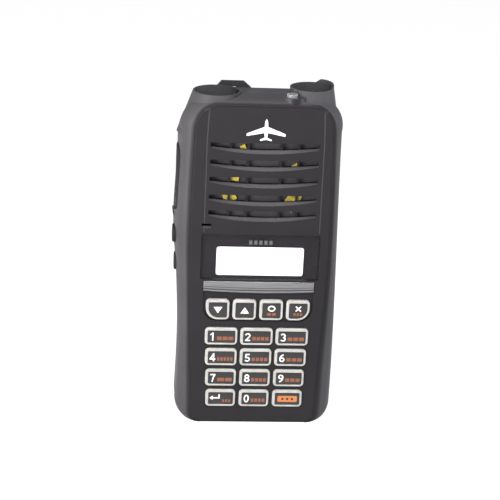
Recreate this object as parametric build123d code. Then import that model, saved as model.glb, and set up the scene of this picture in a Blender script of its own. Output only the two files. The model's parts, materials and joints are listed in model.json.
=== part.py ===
from build123d import *
import math
import os

# Handheld airband radio, in millimetres. It stands on its base: +Z up, the front faces -Y, and +X
# is to the right as seen from the front. The shapes are drawn from the front panel, y = 0 there
# and growing towards the back, and are stored about the middle of the base.

os.makedirs("parts", exist_ok=True)

# ---- driving dimensions ----
HEIGHT = 111.8
DEPTH = 30.0
ORIGIN_Y = DEPTH / 2
CASE_BACK = 16.4            # back edge of the front case
WALL = 1.9
GAP = 0.15                  # clearance round a moving piece

PANEL_TOP = 110.2           # upper edge of the front panel
PANEL_START = 0.4           # the band round the panel starts this far behind it
PANEL_LINE = 0.8            # width of the shallow line round the panel
SIDE_START = 9.0            # from here back the sides are straight

GRILLE_TOPS = (97.6, 91.9, 86.2, 80.2, 74.9)
GRILLE_HALF = 17.5
SPEAKER_X, SPEAKER_Z, SPEAKER_R = -0.3, 83.1, 14.0
NET_START, NET_END = 2.4, 2.7
NET_LOW, NET_HIGH = 72.0, 97.2
# The adhesive that holds the net, in patches: from and to angle, inner and outer radius.
TAPE_PATCHES = ((184, 212, 9.4, 13.4), (154, 174, 7.8, 11.0), (316, 344, 9.4, 13.6), (29, 34, 11.0, 13.2),
                (115, 122, 12.6, 14.6))

WINDOW_HALF, WINDOW_LOW, WINDOW_HIGH = 19.4, 51.2, 66.8
SCREEN_HALF, SCREEN_LOW, SCREEN_HIGH = 14.3, 52.5, 62.3
BAR_HALF, BAR_LOW, BAR_HIGH = 18.2, 46.9, 50.65

KEY_PROUD = 0.6             # the keys stand this far in front of the panel
KEY_RIM, PAD_SINK = 0.86, 0.25
PAD_SHIFT = (0.13, -0.2)    # the sunk pad sits a little low and right, so the rim is widest above it
FLANGE = 0.4                # the key's flange behind the panel, beyond the key
TOP_ROW_Z, TOP_ROW_PITCH = 40.9, 8.86
TOP_KEY = (7.75, 7.0)
NUMBER_ROW_Z, NUMBER_PITCH = 31.45, 7.4
NUMBER_KEY = (10.8, 6.0)
NUMBER_X, KEY_TAPER, COLUMN_TAPER = 11.75, 0.27, 0.18

ANTENNA_X, ANTENNA_Y, ANTENNA_RIM, ANTENNA_R = -15.6, 8.8, 112.5, 7.75
ANTENNA_WELL_R, ANTENNA_FLOOR = 7.2, 98.5
SOCKET_R, SOCKET_TOP = 4.8, 108.8
VOLUME_X, VOLUME_Y, VOLUME_RIM, VOLUME_R = 14.9, 9.0, 114.3, 7.1
VOLUME_WELL_R, VOLUME_FLOOR = 6.55, 101.0
SHAFT_R, SHAFT_TOP = 3.0, 111.5
LAMP_X, LAMP_Y, LAMP_R, LAMP_TOP = 8.2, 3.7, 1.85, 113.2
DISH_X, DISH_Y, DISH_R, DISH_TOP, DISH_DEEP = 9.1, 4.0, 3.6, 112.2, 1.0

SIDE_KEY_Y, SIDE_KEY_SIZE, SIDE_KEY_CORNER = 9.8, 6.4, 3.1
PTT_FRONT, PTT_BACK, PTT_LOW, PTT_HIGH, PTT_FACE = 5.6, 14.0, 71.4, 94.4, -27.9
SIDE_KEYS = {"side_key_upper": (63.9, -28.6), "side_key_lower": (54.3, -27.8)}   # height, outer face
SIDE_FLANGE = (-25.4, -24.6)
SIDE_POCKET = (-25.6, -22.0)

COVER_Y0, COVER_Y1, COVER_LOW, COVER_HIGH, COVER_INSIDE = 5.9, 13.2, 71.0, 90.5, 24.45
HINGE_X, HINGE_Y, HINGE_R, HINGE_PIN_R = 24.75, 14.3, 0.85, 0.4
JACK_Y, MIC_JACK_Z, PHONE_JACK_Z, JACK_END = 8.6, 77.0, 84.5, 24.15
MIC_JACK_R, PHONE_JACK_R = 1.75, 1.25

CHASSIS_BACK = 19.0
SCREW_R, SCREW_BOSS_R = 1.0, 2.4
CASE_SCREWS = ((-20.9, 7.1), (20.9, 7.1), (-3.6, 103.8), (3.6, 103.8))
BATTERY_HALF, BATTERY_FRONT, BATTERY_TOP = 24.3, 19.2, 93.0
CLIP_HOLE_Z, CLIP_HOLE_SPACING, CLIP_HOLE_R = 101.0, 20.0, 1.25


# ---- helpers ----
def block(x0, x1, y0, y1, z0, z1):
    """A box between two corners."""
    middle = ((x0 + x1) / 2, (y0 + y1) / 2, (z0 + z1) / 2)
    return Pos(*middle) * Box(x1 - x0, y1 - y0, z1 - z0)


def rod_x(y, z, x0, x1, r):
    return Pos((x0 + x1) / 2, y, z) * Rot(0, 90, 0) * Cylinder(r, x1 - x0)


def rod_y(x, z, y0, y1, r):
    return Pos(x, (y0 + y1) / 2, z) * Rot(90, 0, 0) * Cylinder(r, y1 - y0)


def rod_z(x, y, z0, z1, r):
    return Pos(x, y, (z0 + z1) / 2) * Cylinder(r, z1 - z0)


def front_plane(y):
    """A drawing plane parallel to the front panel: local x is X, local y is Z."""
    return Plane(origin=(0, y, 0), x_dir=(1, 0, 0), z_dir=(0, -1, 0))


def back_from(face, y0, y1):
    """Extrude a face drawn on the XZ sketch from y0 back to y1."""
    return extrude(front_plane(y0) * face, amount=y0 - y1)


def slab(x, z, wide, high, y0, y1, r):
    """A plate parallel to the front, with rounded corners."""
    return back_from(Pos(x, z) * RectangleRounded(wide, high, r), y0, y1)


def side_slab(y, z, wide, high, x0, x1, r):
    """A plate parallel to the sides, with rounded corners, from x0 to x1."""
    plane = Plane(origin=(x0, 0, 0), x_dir=(0, 1, 0), z_dir=(1, 0, 0))
    return extrude(plane * Pos(y, z) * RectangleRounded(wide, high, r), amount=x1 - x0)


def hexagon_nut(x, y, z0, z1, r, bore):
    nut = extrude(Pos(x, y, z0) * RegularPolygon(r, 6), amount=z1 - z0)
    return nut - rod_z(x, y, z0 - 1, z1 + 1, bore)


def save(shape, name):
    export_step(Pos(0, -ORIGIN_Y, 0) * shape, f"parts/{name}.step")


def group(shapes):
    """Separate solids kept in one node."""
    return Compound(children=[solid for shape in shapes for solid in shape.solids()])


# ---- the body's outline ----
def half_outline(sides, corner, deck_half, deck_z, base, bulge):
    """The right half of the body seen from the front: base, corner, bowed side, shoulder, deck."""
    (x0, z0), (x1, z1) = sides[0], sides[-1]
    bend = 1 - math.sqrt(0.5)
    lower = ThreePointArc((x0 - corner, base), (x0 - corner * bend, base + (z0 - base) * bend), (x0, z0))
    out_x, out_z = (deck_z - z1) * bulge, (x1 - deck_half) * bulge
    middle = ((x1 + deck_half) / 2 + out_x, (z1 + deck_z) / 2 + out_z)
    shoulder = ThreePointArc((x1, z1), middle, (deck_half, deck_z))
    return [
        Line((0, base), (x0 - corner, base)),
        lower,
        Spline(*sides),
        shoulder,
        Line((deck_half, deck_z), (0, deck_z)),
    ]


def outline(left, right, corner, deck_half, deck_z, base=0.0, bulges=(0.185, 0.14)):
    """The whole outline; each side is given by its distance from the middle at some heights."""
    left_half = half_outline(left, corner, deck_half, deck_z, base, bulges[0])
    right_half = half_outline(right, corner, deck_half, deck_z, base, bulges[1])
    return make_face(Curve() + right_half + [mirror(edge, Plane.YZ) for edge in left_half])


# Behind the panel the left side swells beside the PTT key and the right side tapers.
PANEL_LEFT = [(21.0, 3.2), (22.0, 27), (23.1, 52), (23.3, 80), (22.7, 103.0)]
PANEL_RIGHT = [(21.0, 3.2), (21.8, 27), (22.8, 52), (22.8, 80), (22.1, 103.6)]
BAND_LEFT = [(25.0, 5.2), (25.2, 38), (25.6, 51), (26.1, 60), (26.3, 71), (26.1, 84), (25.7, 101.0)]
BAND_RIGHT = [(25.1, 5.2), (25.3, 30), (25.1, 50), (24.7, 74), (24.1, 100.5)]
TURN_LEFT = [(26.2, 6.4), (26.2, 38), (26.7, 51), (27.1, 60), (27.4, 70), (27.1, 84), (26.9, 100.5)]
TURN_RIGHT = [(26.2, 6.4), (26.2, 30), (25.9, 50), (25.4, 74), (25.0, 100.5)]
FULL_LEFT = [(26.2, 6.6), (25.8, 24), (26.1, 40), (27.0, 52), (27.8, 61), (28.2, 69), (27.7, 84),
             (27.5, 95.5)]
FULL_RIGHT = [(26.6, 6.6), (26.5, 30), (26.2, 50), (25.7, 74), (25.2, 98)]
BACK_LEFT = [(25.2, 6.4), (24.9, 24), (25.2, 40), (26.0, 52), (26.8, 61), (27.0, 71), (26.6, 84), (26.4, 95)]
BACK_RIGHT = [(25.4, 6.4), (25.4, 30), (25.1, 50), (24.7, 74), (24.4, 97)]


def panel_outline(inset=0.0):
    left, right = [[(x - inset, z) for x, z in sides] for sides in (PANEL_LEFT, PANEL_RIGHT)]
    return outline(left, right, 3.2, 16.0 - inset * 0.5, PANEL_TOP - inset, inset, (0.16, 0.16))


def full_outline():
    return outline(FULL_LEFT, FULL_RIGHT, 6.3, 17.0, HEIGHT, 0.0, (0.155, 0.155))


def body_blank():
    """The case's outer form: flat panel, a rounded band with squarer shoulders, then straight sides."""
    sections = [
        front_plane(PANEL_START) * panel_outline(),
        front_plane(2.6) * outline(BAND_LEFT, BAND_RIGHT, 5.2, 17.2, HEIGHT - 0.6, 0.0, (0.2, 0.18)),
        front_plane(5.4) * outline(TURN_LEFT, TURN_RIGHT, 6.4, 17.8, HEIGHT - 0.2, 0.0, (0.22, 0.2)),
        front_plane(SIDE_START) * full_outline(),
    ]
    sides = back_from(full_outline(), SIDE_START, CASE_BACK)
    return back_from(panel_outline(), 0, PANEL_START) + loft(sections) + sides


def boss(x, y, rim, r, lean, foot_r):
    """A boss on the deck that leans out into the shoulder."""
    top = Plane(origin=(x, y, rim)) * Circle(r)
    foot = Plane(origin=(x + lean, y + 0.2, 99)) * Circle(foot_r)
    return loft([foot, top])


def boss_ear():
    """The right boss's rim climbs towards its outer rear, as a guard beside the knob."""
    ear = rod_z(VOLUME_X, VOLUME_Y, VOLUME_RIM - 1, VOLUME_RIM + 4, VOLUME_R)
    climb = Plane(origin=(VOLUME_X, VOLUME_Y, VOLUME_RIM - 0.35), z_dir=(-0.18, -0.15, 1))
    foot = Plane(origin=(VOLUME_X + 1.9, VOLUME_Y, VOLUME_RIM), z_dir=(-0.75, 0, 1))
    for plane in (climb, foot):
        ear -= extrude(plane * Rectangle(60, 60), amount=20)
    return ear


def outer_form():
    """The case's whole outer surface, before anything is hollowed out."""
    left = boss(ANTENNA_X, ANTENNA_Y, ANTENNA_RIM, ANTENNA_R, -3.9, 8.7)
    right = boss(VOLUME_X, VOLUME_Y, VOLUME_RIM, VOLUME_R, 1.8, 8.0)
    dish_lip = rod_z(DISH_X, DISH_Y, 106, DISH_TOP, DISH_R)
    form = body_blank() + left + right + boss_ear() + dish_lip + ptt_stop()
    return form & block(-40, 40, 0, CASE_BACK, -10, 150)


def cavity():
    """The hollow behind the panel, with room for the speaker and the boards."""
    shallow_side = [(19.4, 3.6), (20.2, 27), (21.2, 52), (21.2, 78), (20.9, 90.0)]
    shallow = outline(shallow_side, shallow_side, 2.0, 18.0, 97.4, WALL)
    deep_side = [(23.2, 8.6), (23.4, 30), (23.4, 52), (23.4, 74), (23.2, 88.0)]
    deep = outline(deep_side, deep_side, 6.5, 18.5, 97.4, WALL)
    hollow = back_from(shallow, WALL, 6.2) + back_from(deep, 6.0, CASE_BACK + 1)
    neck = block(-7.2, 6.2, 2.4, CASE_BACK + 1, 95, 109.6)
    hinge_wall = block(22.5, 24, 13, CASE_BACK + 2, COVER_LOW - 3, COVER_HIGH + 3)
    return hollow + neck - hinge_wall


def grille_slot(top):
    """One louvre: a straight upper edge and a lower edge that bows down, bevelled to the front."""
    def opening(y, half, low, sag):
        edge = ThreePointArc((-half, low), (0, low - sag), (half, low))
        sides = Polyline((half, low), (half, top), (-half, top), (-half, low))
        return front_plane(y) * make_face(Curve() + [edge, sides])
    bevel = loft([opening(-0.1, GRILLE_HALF, top - 2.0, 1.75), opening(0.95, GRILLE_HALF, top - 1.5, 1.0)])
    narrow = [opening(y, GRILLE_HALF, top - 1.5, 1.0) for y in (0.9, WALL + 0.6)]
    return bevel + loft(narrow)


def crease(side):
    """A vee-shaped crease in the panel beside the grille, from the window up to the deck."""
    points = [(side * 18.8, 67.5), (side * 18.8, 98), (side * 18.4, 108.2)]

    def strip(y, half_wide):
        left = [(x - half_wide, z) for x, z in points]
        right = [(x + half_wide, z) for x, z in reversed(points)]
        return front_plane(y) * make_face(Polyline(*left, *right, close=True))
    return loft([strip(-0.06, 0.42), strip(0.28, 0.04)])


def microphone_slit():
    """A thin slit through the panel, whose lower lip slopes down to the front."""
    lip = side_plane(-19.4) * make_face(Polyline((-0.1, 68.75), (1.0, 69.55), (-0.1, 69.55), close=True))
    return slab(-17.85, 69.9, 3.3, 0.9, -1, 3, 0.2) + extrude(lip, amount=3.1)


# ---- keys ----
def key_table():
    """Every front key: name, centre, size, and which lower corner is cut round."""
    keys = []
    for column, name in enumerate(("key_down", "key_up", "key_memory", "key_clear")):
        x = (column - 1.5) * TOP_ROW_PITCH
        corner = {0: -1, 3: 1}.get(column, 0)
        keys.append((name, x, TOP_ROW_Z, *TOP_KEY, corner))
    names = ("key_1", "key_2", "key_3", "key_4", "key_5", "key_6", "key_7", "key_8", "key_9",
             "key_enter", "key_0", "key_function")
    for place, name in enumerate(names):
        row, column = divmod(place, 3)
        x = (column - 1) * (NUMBER_X - COLUMN_TAPER * row)
        wide = NUMBER_KEY[0] - KEY_TAPER * row
        keys.append((name, x, NUMBER_ROW_Z - NUMBER_PITCH * row, wide, NUMBER_KEY[1], 0))
    return keys


def key_face(x, z, wide, high, corner, grow=0.0):
    """A key's outline: small corner radii, and one large radius on an outer lower corner."""
    w, h = wide / 2 + grow, high / 2 + grow
    small, large = 1.3 + grow, 4.0 + grow
    left = large if corner < 0 else small
    right = large if corner > 0 else small
    edge = FilletPolyline((-w, -h), (w, -h), (w, h), (-w, h), radius=[left, right, small, small], close=True)
    return Pos(x, z) * make_face(edge)


def key(x, z, wide, high, corner):
    """A keytop with a raised rim round a sunk pad, and a flange that holds it behind the panel."""
    cap = back_from(key_face(x, z, wide, high, corner), -KEY_PROUD, 2.3)
    cap = fillet(cap.faces().sort_by(Axis.Y)[0].edges(), 0.3)
    pad_x, pad_z = x + PAD_SHIFT[0], z + PAD_SHIFT[1]
    mouth = front_plane(-KEY_PROUD - 0.01) * key_face(pad_x, pad_z, wide, high, corner, 0.14 - KEY_RIM)
    seat = front_plane(PAD_SINK - KEY_PROUD) * key_face(pad_x, pad_z, wide, high, corner, -KEY_RIM)
    cap -= loft([mouth, seat])
    flange = back_from(key_face(x, z, wide, high, corner, FLANGE), WALL + 0.1, 2.6)
    return cap + flange


# ---- front case ----
def side_plane(x):
    """A drawing plane parallel to the sides: local x is Y, local y is Z."""
    return Plane(origin=(x, 0, 0), x_dir=(0, 1, 0), z_dir=(1, 0, 0))


def ptt_outline(grow=0.0):
    """The PTT key's opening: its lower edge falls towards the back, its upper front corner is cut round."""
    front, back = PTT_FRONT - grow, PTT_BACK + grow
    low, high = PTT_LOW - grow, PTT_HIGH + grow
    corners = [(front, low + 2.4), (back, low), (back, high), (front, high)]
    radii = [r + grow for r in (1.5, 1.9, 1.9, 3.4)]
    return make_face(FilletPolyline(*corners, radius=radii, close=True))


def side_key_outline(z, grow=0.0):
    size = SIDE_KEY_SIZE + 2 * grow
    return Pos(SIDE_KEY_Y, z) * RectangleRounded(size, size, SIDE_KEY_CORNER + grow)


def side_key_cut(shape):
    """An opening in the left wall with a flared mouth; shape(grow) gives its outline."""
    flare = loft([side_plane(-26.5) * shape(0.0), side_plane(-30.5) * shape(1.4)])
    return flare + extrude(side_plane(-26.6) * shape(0.0), amount=SIDE_POCKET[0] + 26.8)


def ptt_stop():
    """A small ridge on the left wall under the PTT key, for the finger."""
    low, high = PTT_LOW - 1.8, PTT_LOW - 0.2
    corners = [(-27.0, low), (-28.2, low + 0.3), (-28.6, high - 0.5), (-28.6, high - 0.1), (-27.0, high)]
    return back_from(make_face(Polyline(*corners, close=True)), SIDE_KEY_Y - 0.8, CASE_BACK)


def front_case():
    form = outer_form()

    # Wells in the deck, their holes, and the status lamp's dish with its raised lip.
    well = rod_z(VOLUME_X, VOLUME_Y, VOLUME_FLOOR, 120, VOLUME_WELL_R)
    case = form - rod_z(ANTENNA_X, ANTENNA_Y, ANTENNA_FLOOR, 120, ANTENNA_WELL_R) - well
    dish = rod_z(DISH_X, DISH_Y, DISH_TOP - DISH_DEEP, 116, DISH_R - 0.55)
    case -= dish - rod_z(VOLUME_X, VOLUME_Y, 100, 120, VOLUME_R)

    # The hollow, then what stands in it: the screw bosses and a thicker floor under each well.
    case -= cavity()
    inside = [rod_y(x, z, WALL - 0.2, CASE_BACK, SCREW_BOSS_R) for x, z in CASE_SCREWS]
    inside.append(block(7.4, VOLUME_X + 7.6, 3.5, CASE_BACK, 96.4, 99))
    inside.append(block(ANTENNA_X - 7.0, ANTENNA_X + 7.2, 3.5, CASE_BACK, 96.4, 98))
    for piece in inside:
        case += piece & form
    for x, z in CASE_SCREWS:
        case -= rod_y(x, z, 6, CASE_BACK + 1, SCREW_R + 0.05)
    case -= rod_z(ANTENNA_X, ANTENNA_Y, 90, 120, 3.65)
    case -= rod_z(VOLUME_X, VOLUME_Y, 90, 120, 3.45)
    case -= rod_z(LAMP_X, LAMP_Y, 90, 120, LAMP_R + 0.03)

    # Speaker grille, with four ribs across its slots.
    for top in GRILLE_TOPS:
        case -= grille_slot(top)
    for x in (-11.0, -5.3, 5.3, 11.0):
        case += block(x - 0.4, x + 0.4, 1.3, WALL, 70, 98)
    case -= microphone_slit()

    # Window seat and opening, bar seat, and the shared pocket of the upper keys.
    middle = (WINDOW_LOW + WINDOW_HIGH) / 2
    case -= slab(0, middle, 2 * WINDOW_HALF, WINDOW_HIGH - WINDOW_LOW, -1, 1.0, 0.8)
    case -= slab(0, 57.6, 2 * SCREEN_HALF + 3.2, 13.0, -1, 3, 0.8)
    case -= bar_face(0.1, -1, 0.7)
    pocket = FilletPolyline((-18.1, 36.8), (18.1, 36.8), (18.1, 46.9), (-18.1, 46.9),
                            radius=[4.6, 4.6, 0.3, 0.3], close=True)
    case -= back_from(make_face(pocket), -1, 0.45)
    for name, x, z, wide, high, corner in key_table():
        case -= back_from(key_face(x, z, wide, high, corner, GAP), -1, 3)
        case -= back_from(key_face(x, z, wide, high, corner, FLANGE + GAP), WALL + 0.02, 3)

    # The two creases beside the grille, and the fine line round the panel.
    for side in (-1, 1):
        case -= crease(side)
    case -= back_from(panel_ring(), -1, PANEL_START + 0.25)

    # Side openings.
    case -= side_key_cut(ptt_outline)
    for z, face in SIDE_KEYS.values():
        case -= side_key_cut(lambda grow, z=z: side_key_outline(z, grow))
    case -= block(*SIDE_POCKET, SIDE_KEY_Y - 4.9, SIDE_KEY_Y + 4.9, 49.5, 95.4)

    # Seat of the jack cover, its hinge pin's holes, and the two jack holes.
    case -= block(COVER_INSIDE - GAP, 30, COVER_Y0 - GAP, HINGE_Y + 1.35, COVER_LOW - GAP, COVER_HIGH + GAP)
    case -= rod_z(HINGE_X, HINGE_Y, COVER_LOW - GAP, COVER_HIGH + GAP, HINGE_R + GAP)
    case -= rod_z(HINGE_X, HINGE_Y, COVER_LOW - 1.5, COVER_HIGH + 1.5, HINGE_PIN_R + 0.02)
    for z in (MIC_JACK_Z, PHONE_JACK_Z):
        case -= rod_x(JACK_Y, z, 22, 30, 2.7)
    return case


def panel_ring():
    """The narrow dark line between the panel and the band."""
    return panel_outline() - panel_outline(PANEL_LINE)


def bar_face(grow, y0, y1):
    """The trim bar's outline: straight above, bowed down below."""
    half, low, high = BAR_HALF + grow, BAR_LOW + 0.35 - grow, BAR_HIGH + grow
    edge = ThreePointArc((-half, low), (0, low - 0.55), (half, low))
    sides = Polyline((half, low), (half, high), (-half, high), (-half, low))
    return back_from(make_face(Curve() + [edge, sides]), y0, y1)


def trim_bar():
    bar = bar_face(0.0, -0.3, 0.65)
    bar = fillet(bar.faces().sort_by(Axis.Y)[0].edges(), 0.25)
    for z, wide, bottom in ((48.95, 0.18, -0.05), (48.15, 0.34, 0.2)):
        line = ThreePointArc((-BAR_HALF - 1, z), (0, z - 0.5), (BAR_HALF + 1, z))
        bar -= back_from(trace(line, wide), -1, bottom)
    return bar


# ---- display ----
def display():
    middle = (WINDOW_LOW + WINDOW_HIGH) / 2
    high = WINDOW_HIGH - WINDOW_LOW
    lens = slab(0, middle, 2 * WINDOW_HALF - 0.16, high - 0.16, 0.05, 0.85, 0.75)
    save(lens, "window_lens")
    mask = slab(0, middle, 2 * WINDOW_HALF - 0.2, high - 0.2, 0.85, 1.0, 0.7)
    screen_z = (SCREEN_LOW + SCREEN_HIGH) / 2
    mask -= slab(0, screen_z, 2 * SCREEN_HALF, SCREEN_HIGH - SCREEN_LOW, 0, 2, 0.8)
    save(mask, "window_mask")
    save(slab(0, 57.4, 34.0, 14.6, 2.1, 3.6, 0.3), "lcd_panel")
    save(slab(0, 57.4, 34.0, 14.6, 3.6, 5.0, 0.3), "backlight")
    holder = slab(0, 57.4, 38.0, 17.4, 2.3, 6.6, 0.5) - slab(0, 57.4, 34.05, 14.65, 0, 5.0, 0.3)
    save(holder, "lcd_holder")


# ---- speaker and microphone ----
def turned(points, x, z):
    """A solid of revolution about a front-to-back axis: points are (radius, y)."""
    profile = make_face(Polyline(*[(r, y, 0) for r, y in points], close=True))
    return Pos(x, 0, z) * revolve(profile, Axis.Y, 360)


def speaker():
    rim = [(13.0, NET_END), (SPEAKER_R, NET_END), (SPEAKER_R, 4.4)]
    basket = turned([*rim, (8.2, 6.6), (8.2, 5.9), (13.0, 4.0)], SPEAKER_X, SPEAKER_Z)
    save(basket, "speaker_basket")
    rim = [(12.2, 3.1), (12.9, 3.1), (12.9, 3.6), (12.2, 3.6)]
    cone = turned([(0, 4.5), (4.0, 5.3), *rim, (4.2, 5.8), (0, 5.8)], SPEAKER_X, SPEAKER_Z)
    save(cone, "speaker_cone")
    save(turned([(0, 6.65), (9.0, 6.65), (9.0, 10.0), (0, 10.0)], SPEAKER_X, SPEAKER_Z), "speaker_magnet")
    tape = []
    for start, end, inner, outer in TAPE_PATCHES:
        patch = ring_sector(SPEAKER_X, SPEAKER_Z + 0.4, inner, outer, start, end)
        tape.append(back_from(patch, WALL, NET_START))
    save(group(tape), "speaker_tape")
    net = slab(0, (NET_LOW + NET_HIGH) / 2, 36.4, NET_HIGH - NET_LOW, NET_START, NET_END, 2.0)
    save(net, "speaker_net")


def ring_sector(x, z, inner, outer, start, end):
    """Part of a flat ring between two angles, which count from +X towards +Z."""
    def at(r, angle):
        turn = math.radians(angle)
        return (x + r * math.cos(turn), z + r * math.sin(turn))
    middle = (start + end) / 2
    edges = [
        ThreePointArc(at(outer, start), at(outer, middle), at(outer, end)),
        Line(at(outer, end), at(inner, end)),
        ThreePointArc(at(inner, end), at(inner, middle), at(inner, start)),
        Line(at(inner, start), at(outer, start)),
    ]
    return make_face(Curve() + edges)


def microphone():
    x, z = -17.85, 69.4
    save(rod_y(x, z, 3.0, 5.6, 1.9), "microphone")
    boot = rod_y(x, z, 2.0, 6.0, 2.5) - rod_y(x, z, 3.0, 5.6, 1.9) - slab(x, z, 2.6, 1.4, 1, 4, 0.2)
    save(boot, "microphone_boot")


# ---- keypad and boards ----
def keypad():
    for name, x, z, wide, high, corner in key_table():
        save(key(x, z, wide, high, corner), name)
    mat = slab(0, 25.2, 36.2, 41.6, 4.4, 5.2, 1.0)
    for name, x, z, wide, high, corner in key_table():
        mat += slab(x, z, 4.0, 3.4, 3.45, 5.8, 0.6)
    save(mat, "keypad_mat")
    domes = [rod_y(x, z, 6.0, 6.6, 2.2) for name, x, z, wide, high, corner in key_table()]
    save(group(domes), "key_domes")


def board_holes():
    return [(side * 19.4, z) for side in (-1, 1) for z in (12.5, 46.2)]


def boards():
    front = slab(0, 35.5, 43.0, 64.0, 6.6, 7.6, 1.5)
    main = slab(0, 47.0, 44.0, 82.0, 11.2, 12.4, 2.0)
    for x, z in CASE_SCREWS:
        front -= rod_y(x, z, 0, 20, SCREW_BOSS_R + 0.3)
        main -= rod_y(x, z, 0, 20, SCREW_BOSS_R + 0.3)
    for x, z in board_holes():
        front -= rod_y(x, z, 0, 20, 1.15)
        main -= rod_y(x, z, 0, 20, 1.1)
    save(front, "front_board")
    save(main, "main_board")
    posts = [rod_y(x, z, 7.6, 11.2, 2.0) - rod_y(x, z, 7, 12, 1.05) for x, z in board_holes()]
    screws = []
    for x, z in board_holes():
        screw = rod_y(x, z, 6.05, 6.6, 1.8) + rod_y(x, z, 6.6, 11.1, 1.0)
        screws.append(screw - slab(x, z, 2.4, 0.5, 5, 6.3, 0.1))
    save(group(posts + screws), "board_fixings")
    save(block(-7, 7, 7.6, 11.2, 59.6, 63.4), "board_connector")
    shield = slab(0, 36, 34, 42, 12.4, 15.4, 1.0) - slab(0, 36, 33.4, 41.4, 12.3, 15.1, 0.7)
    save(shield, "rf_shield")


# ---- top of the radio ----
def top_controls():
    x, y = ANTENNA_X, ANTENNA_Y
    socket = rod_z(x, y, ANTENNA_FLOOR, 100.3, 6.2) + rod_z(x, y, 93.2, SOCKET_TOP, 3.6)
    socket += rod_z(x, y, 100.3, SOCKET_TOP, SOCKET_R)
    socket = chamfer(socket.edges().filter_by(GeomType.CIRCLE).sort_by(Axis.Z)[-1], 0.4)
    socket -= rod_z(x, y, 101.5, 120, 3.9) + rod_z(x, y, 90, 120, 2.2)
    save(socket, "antenna_socket")
    core = rod_z(x, y, 92.6, 104.0, 2.15) + rod_z(x, y, 101.5, 104.0, 3.85) - rod_z(x, y, 90, 120, 0.65)
    save(core, "antenna_insulator")
    contact = rod_z(x, y, 91.0, 106.5, 0.6) + rod_z(x, y, 104.0, 106.5, 0.95)
    save(contact - rod_z(x, y, 104.6, 120, 0.5), "antenna_contact")
    antenna_nut = hexagon_nut(x, y, 94.0, 96.2, 5.3, 3.65)

    x, y = VOLUME_X, VOLUME_Y
    body = block(x - 5.2, x + 4.6, y - 2.0, y + 5.4, 88.2, 93.6)
    control = body + rod_z(x, y, 93.6, 104.0, 3.4)
    control -= rod_z(x, y, 80, 120, 2.25)
    save(control, "volume_control")
    shaft = rod_z(x, y, 88.4, 106, 2.2) + rod_z(x, y, 104.2, SHAFT_TOP, SHAFT_R)
    shaft = chamfer(shaft.edges().filter_by(GeomType.CIRCLE).sort_by(Axis.Z)[-1], 0.35)
    shaft -= block(x - 0.45, x + 0.45, y - 5, y + 5, 107.8, 120)
    save(shaft, "volume_shaft")
    save(group([antenna_nut, hexagon_nut(x, y, VOLUME_FLOOR, 103.0, 5.0, 3.42)]), "control_nuts")

    lamp = rod_z(LAMP_X, LAMP_Y, 97.6, LAMP_TOP, LAMP_R)
    lamp = fillet(lamp.edges().filter_by(GeomType.CIRCLE).sort_by(Axis.Z)[-1], 0.4)
    save(lamp, "status_light_guide")


# ---- side controls ----
def side_button(shape, low, high, face, rounding):
    """A side key in its opening: cap, a flange inside the wall, and a post towards its switch."""
    cap = extrude(side_plane(face) * shape(-GAP), amount=SIDE_FLANGE[0] - face)
    cap = fillet(cap.faces().sort_by(Axis.X)[0].edges(), rounding)
    outline_box = shape(0.4).bounding_box()
    flange = block(*SIDE_FLANGE, outline_box.min.X, outline_box.max.X, low - 0.35, high + 0.35)
    middle = (low + high) / 2
    post = block(SIDE_FLANGE[1] - 0.1, -23.3, 12.5, 13.4, middle - 1.2, middle + 1.2)
    return cap + flange + post


def side_controls():
    ptt = side_button(ptt_outline, PTT_LOW, PTT_HIGH, PTT_FACE, 0.7)
    middle = (PTT_LOW + PTT_HIGH) / 2
    for step in range(-3, 4):
        z = middle + 0.8 + step * 2.2
        ptt -= block(-30, PTT_FACE + 0.25, SIDE_KEY_Y - 2.3, SIDE_KEY_Y + 2.3, z - 0.4, z + 0.4)
    save(ptt, "ptt_key")
    switches = [block(-22.4, -20.2, 12.4, 15.4, middle - 3, middle + 3)]
    for name, (z, face) in SIDE_KEYS.items():
        low, high = z - SIDE_KEY_SIZE / 2, z + SIDE_KEY_SIZE / 2
        save(side_button(lambda grow, z=z: side_key_outline(z, grow), low, high, face, 0.5), name)
        switches.append(block(-22.4, -20.2, 12.4, 15.4, z - 2, z + 2))
    save(group(switches), "side_switches")


def jack_cover():
    """A hard flap flush with the right side, with a barrel along its rear edge and a finger notch."""
    middle_y, middle_z = (COVER_Y0 + COVER_Y1) / 2, (COVER_LOW + COVER_HIGH) / 2
    cover = side_slab(middle_y, middle_z, COVER_Y1 - COVER_Y0, COVER_HIGH - COVER_LOW, COVER_INSIDE, 27, 1.2)
    cover &= body_blank()
    cover -= rod_x(COVER_Y0 - 1.0, middle_z, COVER_INSIDE + 0.45, 30, 2.4)
    low, high = COVER_LOW + 1.2, COVER_HIGH - 1.2
    cover += block(COVER_INSIDE, COVER_INSIDE + 0.8, COVER_Y1 - 1, HINGE_Y, low, high)
    cover += rod_z(HINGE_X, HINGE_Y, low, high, HINGE_R)
    save(cover - rod_z(HINGE_X, HINGE_Y, 60, 110, HINGE_PIN_R + 0.05), "jack_cover")
    save(rod_z(HINGE_X, HINGE_Y, COVER_LOW - 1.2, COVER_HIGH + 1.2, HINGE_PIN_R), "jack_cover_pin")


def jack_block():
    """The two jacks in one moulding, each with a collar in its hole in the case wall."""
    jacks = block(14.2, 23.2, JACK_Y - 2.4, JACK_Y + 2.4, 73.8, 87.0)
    for z in (MIC_JACK_Z, PHONE_JACK_Z):
        jacks += rod_x(JACK_Y, z, 22.3, JACK_END, 2.6)
    for z, r in ((MIC_JACK_Z, MIC_JACK_R), (PHONE_JACK_Z, PHONE_JACK_R)):
        jacks -= rod_x(JACK_Y, z, 15.45, 30, r)
    save(jacks, "jack_block")


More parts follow.
